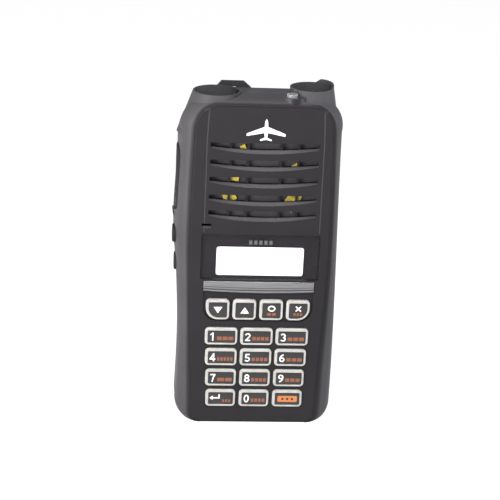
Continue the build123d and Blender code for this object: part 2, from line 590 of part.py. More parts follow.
# ---- chassis, seal and screws ----
def back_outline(grow=0.0, top=109.4):
    left, right = [[(x + grow, z) for x, z in sides] for sides in (BACK_LEFT, BACK_RIGHT)]
    return outline(left, right, 6.4, 16.8 + grow, top + grow)


def strap_tab():
    """The upright tab behind the antenna well, with a slot for a wrist strap."""
    low, bend, top = 106, 111.6, 113.65
    corners = [(-15.6, low), (-3.9, low), (-4.0, bend), (-6.4, top), (-13.7, top), (-15.5, bend)]
    tab = Polyline(*corners, close=True)
    solid = back_from(make_face(tab), CASE_BACK + 0.1, CHASSIS_BACK - 0.6)
    return solid - slab(-10.0, 111.75, 2.4, 0.55, 0, 40, 0.25)


def chassis():
    body = back_from(back_outline(), CASE_BACK, CHASSIS_BACK)
    hump = back_from(back_outline(-1.6, 107.4), CHASSIS_BACK - 0.2, 28.6)
    hump &= block(-40, 40, 0, 40, BATTERY_TOP + 0.8, 120)
    slope = Plane(origin=(0, CHASSIS_BACK, 108.6), x_dir=(1, 0, 0), z_dir=(0, 0.26, 1))
    hump -= extrude(slope * Rectangle(90, 60), amount=20)
    body += hump + strap_tab()
    body -= block(-15, 15, CASE_BACK - 1, CASE_BACK + 1.1, 4, 90)
    for x, z in CASE_SCREWS:
        body -= rod_y(x, z, 0, CHASSIS_BACK + 1, SCREW_R + 0.05)
        body -= rod_y(x, z, CHASSIS_BACK - 1.5, 40, 2.05)
    body -= seal_frame(1.25, 1.0)
    for side in (-1, 1):
        body -= rod_y(side * CLIP_HOLE_SPACING / 2, CLIP_HOLE_Z, 21.0, 40, CLIP_HOLE_R)
    for place in (-1, 0, 1):
        body -= rod_y(place * 4.0, 12.0, 0, 30, 1.3)
    body -= latch_notch()
    return body


def seal_frame(wide, deep):
    """The groove and the rubber ring that close the case against the chassis."""
    def ring(inset, corner):
        left, right = [[(x - inset, z) for x, z in sides] for sides in (BACK_LEFT, BACK_RIGHT)]
        return outline(left, right, corner, 16.85 - inset, 109.25 - inset, 0.15 + inset)
    return back_from(ring(0.25, 6.2) - ring(0.25 + wide, 5.2), CASE_BACK, CASE_BACK + deep)


def latch_notch():
    return block(-4.2, 4.2, CHASSIS_BACK - 1.2, CHASSIS_BACK + 1, -1, 5.2)


def fasteners():
    screws = []
    seat = CHASSIS_BACK - 1.5
    for x, z in CASE_SCREWS:
        screw = rod_y(x, z, CASE_BACK - 7, seat, SCREW_R) + rod_y(x, z, seat, CHASSIS_BACK - 0.1, 2.0)
        screws.append(screw - slab(x, z, 2.2, 0.5, CHASSIS_BACK - 0.7, CHASSIS_BACK + 1, 0.1))
    save(group(screws), "case_screws")
    pins = [rod_y(place * 4.0, 12.0, 12.45, 19.1, 0.9) for place in (-1, 0, 1)]
    save(group(pins), "battery_pins")


# ---- battery ----
def battery_outline(grow=0.0):
    half = BATTERY_HALF + grow
    corners = [(-half, -grow), (half, -grow), (half, BATTERY_TOP + grow), (-half, BATTERY_TOP + grow)]
    edge = FilletPolyline(*corners, radius=[8.0 + grow, 8.0 + grow, 2.5, 2.5], close=True)
    return make_face(edge)


def battery():
    shell = back_from(battery_outline(), BATTERY_FRONT + 1.2, DEPTH)
    shell = chamfer(shell.faces().sort_by(Axis.Y)[-1].edges(), 1.6)
    shell -= back_from(battery_outline(-1.4), BATTERY_FRONT, DEPTH - 1.4)
    for place in range(-6, 7):
        shell -= block(-12, 12, DEPTH - 0.4, DEPTH + 1, 60 + place * 2.6 - 0.5, 60 + place * 2.6 + 0.5)
    shell -= block(-6.2, 6.2, 25.2, DEPTH + 1, -1, 4.0)
    shell += block(-7.2, 7.2, 24.0, 25.2, 1.0, 5.2) + block(-7.2, 7.2, 24.0, DEPTH - 1.4, 4.0, 5.2)
    shell += block(-7.2, -6.2, 24.0, DEPTH - 1.4, 1.0, 5.2) + block(6.2, 7.2, 24.0, DEPTH - 1.4, 1.0, 5.2)
    shell -= block(-3.9, 3.9, 19, 26, 0.5, 3.7)
    save(shell, "battery_case")
    plate = back_from(battery_outline(), BATTERY_FRONT, BATTERY_FRONT + 1.2)
    plate -= block(-3.9, 3.9, 10, 40, -1, 4.9)
    for place in (-1, 0, 1):
        plate -= rod_y(place * 4.0, 12.0, 10, 30, 1.5)
    save(plate, "battery_plate")
    cells = [slab(side * 11.4, 51.0, 21.8, 68.0, 21.2, 27.9, 2.5) for side in (-1, 1)]
    save(group(cells), "battery_cells")
    board = block(-20, 20, 21.0, 22.2, 8.6, 15.0)
    for place in (-1, 0, 1):
        board += rod_y(place * 4.0, 12.0, BATTERY_FRONT + 0.2, 21.1, 1.4)
    save(board, "battery_board")
    latch = block(-5.9, 5.9, 25.4, 28.9, 0.5, 3.8) + block(-3.6, 3.6, 18.3, 25.6, 0.8, 3.4)
    for step in range(-2, 3):
        latch -= block(step * 2.0 - 0.35, step * 2.0 + 0.35, 28.4, 31, 0, 5)
    save(latch, "battery_latch")


save(front_case(), "front_case")
save(trim_bar(), "trim_bar")
display()
speaker()
microphone()
keypad()
boards()
top_controls()
side_controls()
jack_cover()
jack_block()
save(chassis(), "chassis")
save(seal_frame(1.2, 0.98), "case_seal")
fasteners()
battery()
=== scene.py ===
"""Looks of a handheld airband radio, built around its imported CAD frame.

Everything is in metres in the row frame: +Z up, the front faces -Y, +X to the right. A number is in
millimetres where its name ends in _mm or where it is multiplied by MM.
"""

import json
import math

import bmesh
import bpy
from mathutils import Matrix, Vector


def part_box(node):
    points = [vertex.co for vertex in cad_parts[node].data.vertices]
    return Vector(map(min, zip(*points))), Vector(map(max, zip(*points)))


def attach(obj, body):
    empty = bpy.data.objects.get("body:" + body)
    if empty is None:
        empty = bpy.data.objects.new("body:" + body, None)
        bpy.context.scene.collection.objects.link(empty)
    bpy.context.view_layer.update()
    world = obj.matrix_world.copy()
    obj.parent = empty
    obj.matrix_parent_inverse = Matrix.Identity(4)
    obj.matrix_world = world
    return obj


MM = 0.001
PANEL_Y = -15.0 * MM            # the front panel's plane

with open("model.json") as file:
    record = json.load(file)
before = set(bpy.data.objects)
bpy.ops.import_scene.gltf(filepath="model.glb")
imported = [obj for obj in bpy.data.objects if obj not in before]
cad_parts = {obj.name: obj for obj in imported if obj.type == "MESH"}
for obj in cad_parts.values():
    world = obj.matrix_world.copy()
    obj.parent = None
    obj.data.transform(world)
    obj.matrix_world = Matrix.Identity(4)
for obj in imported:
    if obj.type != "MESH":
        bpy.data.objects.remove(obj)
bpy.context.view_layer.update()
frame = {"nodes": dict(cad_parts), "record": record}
nodes = frame["nodes"]


# ---- materials ----
NOISE_LOW, NOISE_HIGH = 0.3, 0.7        # a noise factor seldom leaves this range
DRIFT_SIZE_MM = 14.0            # the size of the slow drifts of tone on moulded plastic
GLOSS_SPREAD = 0.07             # the grain takes a moulding's roughness this far to either side

PANEL_TONE = (0.019, 0.0172, 0.0194)    # the flat panel, and the walls of its slots
BAND_PAINTED_LIGHT_TONE = (0.062, 0.0597, 0.064)      # painted light: the band round the panel, the sides and the deck, drawn paler as the light falls on them
LIP_HIGHLIGHT_TONE = (0.047, 0.0447, 0.048)       # painted highlight on the slots' lower edges and the creases beside the grille
TONE_DEPTH = 2.0 * MM           # the case's tones are placed over this depth behind the panel's plane
SIDE_BLEND = (19.4 * MM, 19.9 * MM)     # between these distances from the middle the band begins
TOP_BLEND = (108.4 * MM, 108.8 * MM)    # between these heights the shoulder begins
GRILLE_BLEND = (67.0 * MM, 67.4 * MM)   # between these heights the part with the slots begins

MIX_INPUTS = (0, 6, 7)          # a colour Mix node's sockets for its factor and its two colours
MIX_COLOUR = 2                  # its socket for the mixed colour


def material(name, colour, roughness, metallic=0.0, specular=0.5):
    """A new node material, returned with its tree and its shader."""
    made = bpy.data.materials.new(name)
    made.use_nodes = True
    tree = made.node_tree
    shader = tree.nodes["Principled BSDF"]
    shader.inputs["Base Color"].default_value = (*colour, 1.0)
    shader.inputs["Roughness"].default_value = roughness
    shader.inputs["Metallic"].default_value = metallic
    shader.inputs["Specular IOR Level"].default_value = specular
    return made, tree, shader


def noise(tree, size_mm, detail=2.0, stretch=(1.0, 1.0, 1.0), rough=0.5):
    """Noise in the row frame whose features are about size_mm across."""
    where = tree.nodes.new("ShaderNodeTexCoord")
    scale = tree.nodes.new("ShaderNodeMapping")
    scale.inputs["Scale"].default_value = [s / (size_mm * MM) for s in stretch]
    tree.links.new(where.outputs["Object"], scale.inputs["Vector"])
    made = tree.nodes.new("ShaderNodeTexNoise")
    made.inputs["Scale"].default_value = 1.0
    made.inputs["Detail"].default_value = detail
    made.inputs["Roughness"].default_value = rough
    tree.links.new(scale.outputs["Vector"], made.inputs["Vector"])
    return made.outputs["Fac"]


def ramp(tree, factor, stops):
    """A colour ramp over a factor: stops are (place, colour)."""
    made = tree.nodes.new("ShaderNodeValToRGB")
    for place, _ in stops[2:]:
        made.color_ramp.elements.new(place)
    for element, (place, colour) in zip(made.color_ramp.elements, stops):
        element.position = place
        element.color = (*colour, 1.0)
    tree.links.new(factor, made.inputs["Fac"])
    return made.outputs["Color"]


def spread(tree, factor, low, high):
    """A noise factor mapped from its usual range to low..high."""
    made = tree.nodes.new("ShaderNodeMapRange")
    made.inputs["From Min"].default_value = NOISE_LOW
    made.inputs["From Max"].default_value = NOISE_HIGH
    made.inputs["To Min"].default_value = low
    made.inputs["To Max"].default_value = high
    tree.links.new(factor, made.inputs["Value"])
    return made.outputs["Result"]


def bump(tree, shader, height, depth_mm):
    """Lets the shader see a relief: a height from 0 to 1 stands for up to depth_mm."""
    made = tree.nodes.new("ShaderNodeBump")
    made.inputs["Distance"].default_value = depth_mm * MM
    made.inputs["Strength"].default_value = 1.0
    tree.links.new(height, made.inputs["Height"])
    tree.links.new(made.outputs["Normal"], shader.inputs["Normal"])


def tint(colour, by):
    """The colour made darker or paler by a factor."""
    return tuple(min(1.0, c * by) for c in colour)


def moulded(name, colour, roughness, grain_mm, depth_mm, specular=0.5, vary=0.14):
    """Moulded plastic: a fine even grain, with slow drifts of tone and gloss."""
    made, tree, shader = material(name, colour, roughness, specular=specular)
    drift = noise(tree, DRIFT_SIZE_MM, 4.0)
    tones = [(0.35, tint(colour, 1 - vary)), (0.65, tint(colour, 1 + vary))]
    tree.links.new(ramp(tree, drift, tones), shader.inputs["Base Color"])
    grain = noise(tree, grain_mm, 3.0, rough=0.6)
    gloss = spread(tree, grain, roughness - GLOSS_SPREAD, roughness + GLOSS_SPREAD)
    tree.links.new(gloss, shader.inputs["Roughness"])
    bump(tree, shader, grain, depth_mm)
    return made


def step_up(tree, value, low, high):
    """How far the value has come from low to high: 0 below low, 1 above high."""
    made = tree.nodes.new("ShaderNodeMapRange")
    made.inputs["From Min"].default_value = low
    made.inputs["From Max"].default_value = high
    tree.links.new(value, made.inputs["Value"])
    return made.outputs["Result"]


def mix(tree, factor, first, second, blend_type="MIX"):
    """One colour blended into another; the factor and the colours may be sockets or plain values."""
    made = tree.nodes.new("ShaderNodeMix")
    made.data_type = "RGBA"
    made.blend_type = blend_type
    for value, place in zip((factor, first, second), MIX_INPUTS):
        if isinstance(value, bpy.types.NodeSocket):
            tree.links.new(value, made.inputs[place])
        else:
            made.inputs[place].default_value = (*value, 1.0) if place else value
    return made.outputs[MIX_COLOUR]


def case_skin():
    """The case's moulding: near black in front, with painted light on it: a paler tone round the front
    where the sides and the deck catch the light, and a painted highlight on the slots' lower edges.
    """
    made, tree, shader = material("case_black", PANEL_TONE, 0.5, specular=0.15)
    where = tree.nodes.new("ShaderNodeTexCoord")
    axes = tree.nodes.new("ShaderNodeSeparateXYZ")
    tree.links.new(where.outputs["Object"], axes.inputs["Vector"])
    depth = step_up(tree, axes.outputs["Y"], PANEL_Y, PANEL_Y + TONE_DEPTH)
    # painted highlight: in the grille, the shallow surfaces just behind the panel's plane, where the slots'
    # edges slope, are drawn paler
    lip_highlight = ramp(tree, depth, [(0.01, PANEL_TONE), (0.06, LIP_HIGHLIGHT_TONE), (0.38, LIP_HIGHLIGHT_TONE), (0.48, PANEL_TONE)])
    # painted light: further behind the panel's plane, the band, the sides and the deck turn to a paler tone
    band_painted_light = ramp(tree, depth, [(0.27, PANEL_TONE), (0.47, BAND_PAINTED_LIGHT_TONE)])
    beside = tree.nodes.new("ShaderNodeMath")
    beside.operation = "ABSOLUTE"
    tree.links.new(axes.outputs["X"], beside.inputs[0])
    outside = tree.nodes.new("ShaderNodeMath")
    outside.operation = "MAXIMUM"
    tree.links.new(step_up(tree, beside.outputs[0], *SIDE_BLEND), outside.inputs[0])
    tree.links.new(step_up(tree, axes.outputs["Z"], *TOP_BLEND), outside.inputs[1])
    at_grille = step_up(tree, axes.outputs["Z"], *GRILLE_BLEND)
    inside = mix(tree, at_grille, PANEL_TONE, lip_highlight)
    tone = mix(tree, outside.outputs[0], inside, band_painted_light)
    shades = [(0.35, (0.87, 0.87, 0.87)), (0.65, (1.0, 1.0, 1.0))]
    drift = ramp(tree, noise(tree, DRIFT_SIZE_MM, 4.0), shades)
    tree.links.new(mix(tree, 1.0, tone, drift, "MULTIPLY"), shader.inputs["Base Color"])
    grain = noise(tree, 0.3, 3.0, rough=0.6)
    tree.links.new(spread(tree, grain, 0.4, 0.6), shader.inputs["Roughness"])
    bump(tree, shader, grain, 0.045)
    return made


def metal(name, colour, roughness, stretch=(1.0, 1.0, 1.0), size_mm=0.25, depth_mm=0.004, vary=0.12):
    """Bare or plated metal, brushed along the axis with the smallest stretch."""
    made, tree, shader = material(name, colour, roughness, metallic=1.0)
    lines = noise(tree, size_mm, 3.0, stretch)
    tones = [(0.3, tint(colour, 1 - vary)), (0.7, tint(colour, 1 + vary))]
    tree.links.new(ramp(tree, lines, tones), shader.inputs["Base Color"])
    tree.links.new(spread(tree, lines, roughness - 0.08, roughness + 0.1), shader.inputs["Roughness"])
    bump(tree, shader, lines, depth_mm)
    return made


def painted_mark(name, colour):
    """Printing ink, a little uneven."""
    made, tree, shader = material(name, colour, 0.5)
    speck = noise(tree, 0.35, 2.0)
    tones = [(0.3, tint(colour, 0.88)), (0.6, colour)]
    tree.links.new(ramp(tree, speck, tones), shader.inputs["Base Color"])
    bump(tree, shader, speck, 0.004)
    return made


def window_clear():
    """The hard clear window: a glossy sheet that lets the display show through."""
    made, tree, shader = material("window_clear", (0.02, 0.02, 0.02), 0.12, specular=0.25)
    shader.inputs["Alpha"].default_value = 0.1
    wave = noise(tree, 9.0, 1.0)
    tree.links.new(spread(tree, wave, 0.1, 0.16), shader.inputs["Roughness"])
    return made


def display_with_painted_glow():
    """The blank display, white, with a painted glow that keeps it evenly pure white."""
    made, tree, shader = material("lcd_white", (0.95, 0.95, 0.95), 0.4)
    cells = noise(tree, 0.3, 1.0)
    tones = [(0.3, (0.93, 0.94, 0.94)), (0.7, (0.97, 0.97, 0.97))]
    tree.links.new(ramp(tree, cells, tones), shader.inputs["Base Color"])
    # painted glow: the emission stands in for light, so that the display stays pure white
    shader.inputs["Emission Color"].default_value = (1.0, 1.0, 1.0, 1.0)
    shader.inputs["Emission Strength"].default_value = 1.2
    return made


def lamp_clear():
    """The frosted end of the status lamp's light guide."""
    made, tree, shader = material("lamp_clear", (0.2, 0.2, 0.21), 0.3)
    shader.inputs["Subsurface Weight"].default_value = 0.3
    shader.inputs["Subsurface Scale"].default_value = 1.0 * MM
    frost = noise(tree, 0.4, 2.0)
    tree.links.new(spread(tree, frost, 0.22, 0.4), shader.inputs["Roughness"])
    bump(tree, shader, frost, 0.01)
    return made


def key_rubber():
    """The keys' pale translucent rims, faintly soiled."""
    pale = (0.44, 0.43, 0.405)
    made, tree, shader = material("key_ivory", pale, 0.42)
    shader.inputs["Subsurface Weight"].default_value = 0.15
    shader.inputs["Subsurface Scale"].default_value = 0.6 * MM
    soil = noise(tree, 3.0, 5.0, rough=0.65)
    tones = [(0.3, tint(pale, 0.8)), (0.55, pale), (0.8, tint(pale, 1.12))]
    tree.links.new(ramp(tree, soil, tones), shader.inputs["Base Color"])
    bump(tree, shader, noise(tree, 0.2, 2.0), 0.006)
    return made


def adhesive_yellow():
    """The adhesive that holds the speaker's cloth: thick in some places, thin and dark in others."""
    made, tree, shader = material("tape_yellow", (0.6, 0.45, 0.05), 0.6)
    patch = noise(tree, 5.0, 3.0, rough=0.7)
    tones = [(0.3, (0.02, 0.018, 0.012)), (0.38, (0.36, 0.27, 0.035)), (0.6, (0.55, 0.42, 0.05))]
    tree.links.new(ramp(tree, patch, tones), shader.inputs["Base Color"])
    bump(tree, shader, noise(tree, 0.5, 3.0), 0.05)
    return made


def board_green():
    """Solder mask with a faint net of tracks."""
    made, tree, shader = material("board_green", (0.02, 0.12, 0.05), 0.35)
    tracks = noise(tree, 2.0, 0.0, (1.0, 1.0, 0.25))
    tones = [(0.45, (0.015, 0.1, 0.04)), (0.5, (0.05, 0.2, 0.09)), (0.55, (0.015, 0.1, 0.04))]
    tree.links.new(ramp(tree, tracks, tones), shader.inputs["Base Color"])
    bump(tree, shader, tracks, 0.02)
    return made


# One for each slot of the record.
MATERIALS = {
    "case_black": case_skin(),
    "bar_satin": metal("bar_satin", (0.25, 0.25, 0.255), 0.45, (0.03, 1.0, 1.0), vary=0.16),
    "window_clear": window_clear(),
    "window_black": moulded("window_black", (0.022, 0.0195, 0.0225), 0.35, 3.0, 0.001, 0.15, vary=0.05),
    "lcd_white": display_with_painted_glow(),
    "inner_black": moulded("inner_black", (0.02, 0.02, 0.021), 0.6, 0.4, 0.02),
    "steel_dark": metal("steel_dark", (0.16, 0.16, 0.165), 0.5),
    "cone_black": moulded("cone_black", (0.055, 0.05, 0.056), 0.9, 0.5, 0.05, 0.1),
    "tape_yellow": adhesive_yellow(),
    "brass_plated": metal("brass_plated", (0.75, 0.55, 0.24), 0.25),
    "rubber_black": moulded("rubber_black", (0.016, 0.016, 0.017), 0.7, 0.35, 0.02, 0.2),
    "steel_bright": metal("steel_bright", (0.55, 0.55, 0.56), 0.3),
    "board_green": board_green(),
    "socket_nickel": metal("socket_nickel", (0.6, 0.58, 0.55), 0.22),
    "insulator_white": moulded("insulator_white", (0.8, 0.8, 0.78), 0.45, 0.5, 0.005, vary=0.05),
    "shaft_aluminium": metal("shaft_aluminium", (0.5, 0.5, 0.51), 0.3, (1.0, 1.0, 6.0)),
    "lamp_clear": lamp_clear(),
    "chassis_black": moulded("chassis_black", (0.018, 0.0178, 0.019), 0.55, 0.5, 0.04),
    "seal_rubber": moulded("seal_rubber", (0.03, 0.03, 0.03), 0.65, 0.4, 0.01),
    "battery_black": moulded("battery_black", (0.034, 0.034, 0.036), 0.5, 0.35, 0.025),
    "cell_wrap": moulded("cell_wrap", (0.06, 0.16, 0.4), 0.3, 2.0, 0.01),
    "latch_grey": moulded("latch_grey", (0.06, 0.06, 0.062), 0.5, 0.3, 0.015),
    "key_ivory": key_rubber(),
}
PAD_BLACK = moulded("pad_black", (0.018, 0.0155, 0.0165), 0.45, 0.25, 0.006)
INK_WHITE = painted_mark("ink_white", (0.86, 0.86, 0.85))
INK_ORANGE = painted_mark("ink_orange", (0.23, 0.075, 0.036))
INK_AMBER = painted_mark("ink_amber", (0.55, 0.18, 0.045))
INK_GREY = painted_mark("ink_grey", (0.1, 0.098, 0.103))


def dress_frame():
    """Each CAD node gets the material of its slot."""
    for part in frame["record"]["subparts"]:
        piece = nodes[part["node"]]
        piece.data.materials.clear()
        piece.data.materials.append(MATERIALS[part["material_slot"]])


# ---- pieces ----
def add_mesh(name, mesh_maker, finish, body):
    """A new piece whose mesh_maker(form) fills a bmesh, riding on a CAD body."""
    mesh = bpy.data.meshes.new(name)
    form = bmesh.new()
    mesh_maker(form)
    bmesh.ops.recalc_face_normals(form, faces=form.faces)
    form.to_mesh(mesh)
    form.free()
    piece = bpy.data.objects.new(name, mesh)
    bpy.context.scene.collection.objects.link(piece)
    mesh.materials.append(finish)
    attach(piece, body)
    return piece


def rounded_outline(low, high, radii, steps=6):
    """Points round a rectangle in X and Z; radii start at the lower left and go anticlockwise."""
    (x0, z0), (x1, z1) = low, high
    corners = ((x0, z0, 180), (x1, z0, 270), (x1, z1, 0), (x0, z1, 90))
    points = []
    for (x, z, start), radius in zip(corners, radii):
        centre_x = x + radius if x == x0 else x - radius
        centre_z = z + radius if z == z0 else z - radius
        for step in range(steps + 1):
            angle = math.radians(start + 90 * step / steps)
            points.append((centre_x + radius * math.cos(angle), centre_z + radius * math.sin(angle)))
    return points


def prism(form, points, front, back):
    """Adds a plate with that outline in X and Z, from y = front to y = back."""
    near = [form.verts.new((x, front, z)) for x, z in points]
    far = [form.verts.new((x, back, z)) for x, z in points]
    form.faces.new(near)
    form.faces.new(list(reversed(far)))
    count = len(points)
    for i in range(count):
        j = (i + 1) % count
        form.faces.new((near[i], far[i], far[j], near[j]))


def soften(piece, width_mm):
    """Rounds a piece's sharp edges and shades it smoothly."""
    edge = piece.modifiers.new("soft_edges", "BEVEL")
    edge.width = width_mm * MM
    edge.segments = 2
    edge.limit_method = "ANGLE"
    for face in piece.data.polygons:
        face.use_smooth = True


# ---- pads and printing on the keys ----
KEY_FLANGE = 0.4 * MM           # the flange behind the panel reaches this far beyond the key
KEY_RIM = 0.86 * MM             # the width of a key's raised rim
PAD_SHIFT = (0.13 * MM, -0.2 * MM)      # the pad sits this far off the key's middle in X and Z
PAD_SINK = 0.25 * MM            # how far the pad's seat lies below the rim
PAD_THICK = 0.1 * MM
PAD_ROOT = 0.02 * MM            # the pad reaches this far behind its seat
PAD_CORNER = 0.44 * MM
PAD_WIDE_CORNER = 3.14 * MM
WIDE_CORNERS = {"key_down": 0, "key_clear": 1}      # the keys with one wide corner, and which it is
INK_THICK = 0.03 * MM
STROKE_STEP = 0.3 * INK_THICK   # each further stroke stands out this much more, so none share a plane
DASH_GAP = 0.3 * MM
DASH_CORNER = 0.12 * MM


class Key:
    """The places on one key that its pad and its marks need."""

    def __init__(self, node):
        low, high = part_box(node)
        self.name = node
        self.body = node + "_body"
        edge = KEY_FLANGE + KEY_RIM
        self.low = (low[0] + edge + PAD_SHIFT[0], low[2] + edge + PAD_SHIFT[1])
        self.high = (high[0] - edge + PAD_SHIFT[0], high[2] - edge + PAD_SHIFT[1])
        self.seat = low[1] + PAD_SINK
        self.face = self.seat - PAD_THICK
        self.x = (self.low[0] + self.high[0]) / 2
        self.z = (self.low[1] + self.high[1]) / 2

    def mark(self, name, shapes, ink, proud=INK_THICK):
        """Printed shapes on the pad: each is a list of (x, z) points."""
        def build(form):
            for points in shapes:
                prism(form, points, self.face - proud, self.face + INK_THICK)
        add_mesh(f"{self.name}_{name}", build, ink, self.body)

    def mark_lines(self, name, lines, thick):
        """White printed lines on the pad: each is its points, and whether it closes."""
        def build(form):
            for place, (points, closed) in enumerate(lines):
                front = self.face - INK_THICK - STROKE_STEP * place
                stroke(form, points, thick, front, self.face + INK_THICK, closed)
        add_mesh(f"{self.name}_{name}", build, INK_WHITE, self.body)


def key_pad(key):
    """The dark sunk pad inside a key's rim."""
    radii = [PAD_CORNER] * 4
    if key.name in WIDE_CORNERS:
        radii[WIDE_CORNERS[key.name]] = PAD_WIDE_CORNER
    points = rounded_outline(key.low, key.high, radii)
    pad = add_mesh(key.name + "_pad", lambda form: prism(form, points, key.face, key.seat + PAD_ROOT),
                   PAD_BLACK, key.body)
    soften(pad, 0.05)


def bar(x, z, half_wide, half_tall, radius):
    """A printed bar with round corners, its middle at x, z."""
    return rounded_outline((x - half_wide, z - half_tall), (x + half_wide, z + half_tall), [radius] * 4, 4)


def dashes(x, z, wide, tall, count):
    """A row of short printed bars in place of a word: x is its left end and z its middle."""
    each = (wide - DASH_GAP * (count - 1)) / count
    middles = [x + each / 2 + i * (each + DASH_GAP) for i in range(count)]
    return [bar(middle, z, each / 2, tall / 2, DASH_CORNER) for middle in middles]


def edge_points(points, thick, closed):
    """Points to the left and right of a line of points, half the thickness away, with mitred bends."""
    count = len(points)
    left, right = [], []
    for i, (x, z) in enumerate(points):
        before = points[i - 1] if closed or i else points[i]
        after = points[(i + 1) % count] if closed or i < count - 1 else points[i]
        ways = [Vector((x - before[0], z - before[1])), Vector((after[0] - x, after[1] - z))]
        ways = [way.normalized() for way in ways if way.length > 0]
        along = sum(ways, Vector((0, 0))).normalized()
        across = Vector((-along.y, along.x)) * thick / 2 / max(0.5, along.dot(ways[0]))
        left.append((x + across.x, z + across.y))
        right.append((x - across.x, z - across.y))
    return left, right


def stroke(form, points, thick, front, back, closed):
    """Adds one printed stroke along a line of points, or round a loop of points."""
    left, right = edge_points(points, thick, closed)
    rows = [[form.verts.new((x, y, z)) for x, z in side] for side in (left, right) for y in (front, back)]
    left_front, left_back, right_front, right_back = rows
    count = len(points)
    for i in range(count if closed else count - 1):
        j = (i + 1) % count
        form.faces.new((left_front[i], left_front[j], right_front[j], right_front[i]))
        form.faces.new((left_back[j], left_back[i], right_back[i], right_back[j]))
        form.faces.new((left_front[j], left_front[i], left_back[i], left_back[j]))
        form.faces.new((right_front[i], right_front[j], right_back[j], right_back[i]))
    if not closed:
        form.faces.new((left_front[0], right_front[0], right_back[0], left_back[0]))
        form.faces.new((right_front[-1], left_front[-1], left_back[-1], right_back[-1]))


def arc(x, z, wide, tall, start, end, steps=14):
    """Points along an ellipse between two angles, which count from +X towards +Z."""
    angles = [math.radians(start + (end - start) * i / steps) for i in range(steps + 1)]
    return [(x + wide * math.cos(a), z + tall * math.sin(a)) for a in angles]


def loop(x, z, wide, tall):
    """Points round a whole ellipse, the first one not repeated."""
    return arc(x, z, wide, tall, 0, 360, 28)[:-1]


GLYPH_WIDE = 0.6                # a numeral is drawn in a box this wide and 1 tall


def half_turn(strokes):
    """A numeral's strokes turned upside down in their box."""
    return [([(GLYPH_WIDE - x, 1 - z) for x, z in points], closed) for points, closed in strokes]


# Each numeral's strokes, from 0 to 9: the stroke's points in the box, and whether it closes.
SIX = [(loop(0.3, 0.3, 0.205, 0.215), True),
       ([(0.095, 0.34), (0.105, 0.5), (0.165, 0.68), (0.28, 0.83), (0.45, 0.92)], False)]
NUMERALS = (
    [(loop(0.3, 0.5, 0.2, 0.415), True)],
    [([(0.1, 0.72), (0.32, 0.9)], False), ([(0.34, 1.0), (0.34, 0.0)], False)],
    [(arc(0.29, 0.69, 0.205, 0.225, 170, -40) + [(0.1, 0.1)], False),
     ([(0.02, 0.085), (0.54, 0.085)], False)],
    [(arc(0.28, 0.7, 0.2, 0.215, 155, -85), False), (arc(0.28, 0.295, 0.225, 0.21, 85, -150), False)],
    [([(0.4, 1.0), (0.4, 0.0)], False), ([(0.38, 0.9), (0.08, 0.33)], False),
     ([(0.0, 0.29), (0.58, 0.29)], False)],
    [([(0.1, 0.915), (0.52, 0.915)], False), ([(0.165, 0.94), (0.13, 0.5)], False),
     (arc(0.28, 0.31, 0.225, 0.225, 130, -150), False)],
    SIX,
    [([(0.04, 0.915), (0.56, 0.915)], False), ([(0.5, 0.9), (0.36, 0.6), (0.24, 0.0)], False)],
    [(loop(0.3, 0.715, 0.175, 0.2), True), (loop(0.3, 0.29, 0.21, 0.205), True)],
    half_turn(SIX),
)
NUMERAL_TALL = 2.85 * MM
NUMERAL_WIDE = 1.15 * NUMERAL_TALL      # one unit across the box, as the numerals are drawn wide
NUMERAL_STROKE = 0.155 * NUMERAL_TALL
NUMERAL_INSET = 1.55 * MM       # from the pad's left edge to the numeral's middle
BARS_BESIDE = (4, 3, 4, 3, 5, 4, 3, 2, 4, 3)        # how many orange bars each has, from key 0 to key 9
BARS_START = 1.5 * MM           # from the numeral's middle to the first bar
BARS_MARGIN = 0.6 * MM          # from the last bar to the pad's right edge
BARS_DROP = 0.55 * MM           # how far the bars' middle lies below the key's
BARS_TALL = 1.25 * MM


def numeral(number, x, z):
    """A numeral's strokes as they lie on a key, its middle at x, z."""
    strokes = []
    for points, closed in NUMERALS[number]:
        line = [(x + (u - GLYPH_WIDE / 2) * NUMERAL_WIDE, z + (v - 0.5) * NUMERAL_TALL) for u, v in points]
        strokes.append((line, closed))
    return strokes


def number_keys(keys):
    """A bold numeral on the left of each key, and a row of orange bars beside it."""
    for number, bars in enumerate(BARS_BESIDE):
        key = keys[f"key_{number}"]
        x = key.low[0] + NUMERAL_INSET
        key.mark_lines("numeral", numeral(number, x, key.z), NUMERAL_STROKE)
        start = x + BARS_START
        wide = key.high[0] - start - BARS_MARGIN
        key.mark("bars", dashes(start, key.z - BARS_DROP, wide, BARS_TALL, bars), INK_ORANGE)


ARROW_HALF = (1.45 * MM, 1.1 * MM)      # half the width and half the height of the arrows
SYMBOL_LINE = 0.45 * MM         # how thick the ring, the cross and the hook are drawn
SYMBOL_RISE = 0.75 * MM         # how far above the key's middle the ring and the cross have theirs
RING_HALF = (1.05 * MM, 0.8 * MM)
CROSS_HALF = 0.85 * MM
HOOK_INSETS = (0.4 * MM, 1.5 * MM, 3.6 * MM)        # from the pad's left edge to its tip, neck and bend
HOOK_RISES = (0.15 * MM, 1.45 * MM)     # from the key's middle up to its foot and its top
HEAD_HALF = 0.8 * MM            # half the height of its arrow head
PILL_HALF = (3.3 * MM, 1.1 * MM)
DOT_HALF = 0.42 * MM
DOT_CORNER = 0.4 * MM           # the corners of the pill and of the dots on it
DOT_STEP = 1.6 * MM


def arrow_key(key, way):
    """The white triangle of the up or down key."""
    tip, foot = key.z + way * ARROW_HALF[1], key.z - way * ARROW_HALF[1]
    points = [(key.x - ARROW_HALF[0], foot), (key.x + ARROW_HALF[0], foot), (key.x, tip)]
    key.mark("arrow", [points if way > 0 else points[::-1]], INK_WHITE)


